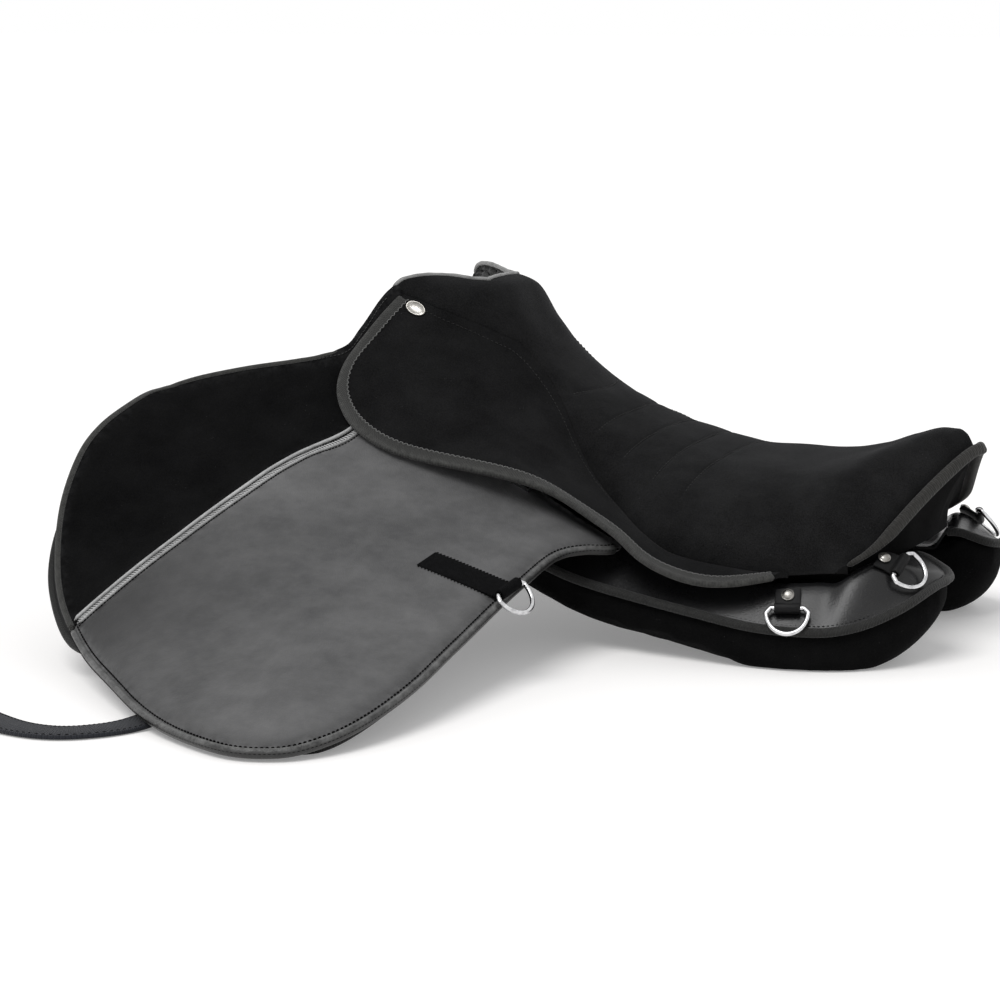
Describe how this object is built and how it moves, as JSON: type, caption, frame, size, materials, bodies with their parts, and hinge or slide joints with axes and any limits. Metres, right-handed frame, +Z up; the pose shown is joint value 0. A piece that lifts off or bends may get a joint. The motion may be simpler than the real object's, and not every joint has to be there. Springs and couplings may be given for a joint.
{
  "type": "endurance saddle",
  "caption": "Synthetic riding saddle with quilted seat, hinged skirts and flaps, stuffed panels, stirrup bars, girth straps and hinged tie rings.",
  "frame": {"origin": "middle of the box, at the surface that the saddle lies on", "axes": "+Z up, -X towards the pommel, -Y the near side (the horse's left)"},
  "size_m": [0.6022, 1.0444, 0.2549],
  "materials": {
    "suede": "matte synthetic suede",
    "leather": "satin grained",
    "tape": "woven tape",
    "chrome": "polished",
    "steel": "satin nickel",
    "foam": "soft foam",
    "shell": "moulded"
  },
  "bodies": {
    "saddle": {"seat_cover": "suede", "cantle_gusset": "suede", "skirt_top_near": "suede", "skirt_top_off": "suede", "panel_near": "suede", "panel_off": "suede", "pommel_piping": "leather", "cantle_binding": "leather", "flap_root_near": "leather", "flap_root_off": "leather", "sweat_flap_near": "leather", "sweat_flap_off": "leather", "billet_front_near": "leather", "billet_front_off": "leather", "billet_rear_near": "leather", "billet_rear_off": "leather", "panel_cover_near": "leather", "panel_cover_off": "leather", "dee_chape_front_near": "leather", "dee_chape_front_off": "leather", "dee_chape_rear_near": "leather", "dee_chape_rear_off": "leather", "panel_binding_near": "tape", "panel_binding_off": "tape", "badge_near": "chrome", "badge_off": "chrome", "head_plate": "steel", "stirrup_bar_near": "steel", "stirrup_bar_off": "steel", "catch_pin_near": "steel", "catch_pin_off": "steel", "dee_rivet_front_near": "steel", "dee_rivet_front_off": "steel", "dee_rivet_rear_near": "steel", "dee_rivet_rear_off": "steel", "seat_foam": "foam", "tree": "shell"},
    "flap_near": {"flap_suede_near": "suede", "flap_leather_near": "leather", "flap_seam_near": "leather", "flap_binding_near": "tape", "flap_tab_near": "tape"},
    "skirt_near": {"skirt_fold_near": "suede", "skirt_binding_near": "tape"},
    "panel_dee_front_near": {"panel_dee_front_near": "chrome"},
    "panel_dee_rear_near": {"panel_dee_rear_near": "chrome"},
    "flap_dee_near": {"flap_dee_near": "chrome"},
    "bar_catch_near": {"bar_catch_near": "steel"},
    "flap_off": {"flap_suede_off": "suede", "flap_leather_off": "leather", "flap_seam_off": "leather", "flap_binding_off": "tape", "flap_tab_off": "tape"},
    "skirt_off": {"skirt_fold_off": "suede", "skirt_binding_off": "tape"},
    "panel_dee_front_off": {"panel_dee_front_off": "chrome"},
    "panel_dee_rear_off": {"panel_dee_rear_off": "chrome"},
    "flap_dee_off": {"flap_dee_off": "chrome"},
    "bar_catch_off": {"bar_catch_off": "steel"}
  },
  "joints": [
    {"name": "flap_lift_near", "type": "hinge", "parent": "saddle", "child": "flap_near", "pos_m": [-0.2864, -0.1658, 0.1744], "axis": [-0.9634, 0.0304, 0.2663], "range_deg": [0, 90]},
    {"name": "flap_lift_off", "type": "hinge", "parent": "saddle", "child": "flap_off", "pos_m": [-0.2864, 0.1658, 0.1744], "axis": [0.9634, 0.0304, -0.2663], "range_deg": [0, 90]},
    {"name": "skirt_lift_near", "type": "hinge", "parent": "saddle", "child": "skirt_near", "pos_m": [-0.1529, -0.103, 0.20866], "axis": [-0.869, 0.2168, 0.4448], "range_deg": [0, 90]},
    {"name": "skirt_lift_off", "type": "hinge", "parent": "saddle", "child": "skirt_off", "pos_m": [-0.1529, 0.103, 0.20866], "axis": [0.869, 0.2168, -0.4448], "range_deg": [0, 90]},
    {"name": "front_dee_swing_near", "type": "hinge", "parent": "saddle", "child": "panel_dee_front_near", "pos_m": [0.2029, -0.15038, 0.0447], "axis": [-0.9609, -0.276, -0.021], "range_deg": [0, 120]},
    {"name": "front_dee_swing_off", "type": "hinge", "parent": "saddle", "child": "panel_dee_front_off", "pos_m": [0.2029, 0.15038, 0.0447], "axis": [0.9609, -0.276, 0.021], "range_deg": [0, 120]},
    {"name": "rear_dee_swing_near", "type": "hinge", "parent": "saddle", "child": "panel_dee_rear_near", "pos_m": [0.26867, -0.10319, 0.0723], "axis": [-0.173, -0.8269, -0.5351], "range_deg": [0, 120]},
    {"name": "rear_dee_swing_off", "type": "hinge", "parent": "saddle", "child": "panel_dee_rear_off", "pos_m": [0.26867, 0.10319, 0.0723], "axis": [0.173, -0.8269, 0.5351], "range_deg": [0, 120]},
    {"name": "flap_dee_swing_near", "type": "hinge", "parent": "flap_near", "child": "flap_dee_near", "pos_m": [0.04515, -0.26861, 0.06718], "axis": [-0.1291, -0.9717, -0.1976], "range_deg": [0, 120]},
    {"name": "flap_dee_swing_off", "type": "hinge", "parent": "flap_off", "child": "flap_dee_off", "pos_m": [0.04515, 0.26861, 0.06718], "axis": [0.1291, -0.9717, 0.1976], "range_deg": [0, 120]},
    {"name": "bar_catch_turn_near", "type": "hinge", "parent": "saddle", "child": "bar_catch_near", "pos_m": [-0.01084, -0.13572, 0.1181], "axis": [-0.2163, -0.8499, -0.4806], "range_deg": [0, 30]},
    {"name": "bar_catch_turn_off", "type": "hinge", "parent": "saddle", "child": "bar_catch_off", "pos_m": [-0.01084, 0.13572, 0.1181], "axis": [0.2163, -0.8499, 0.4806], "range_deg": [0, 30]}
  ]
}
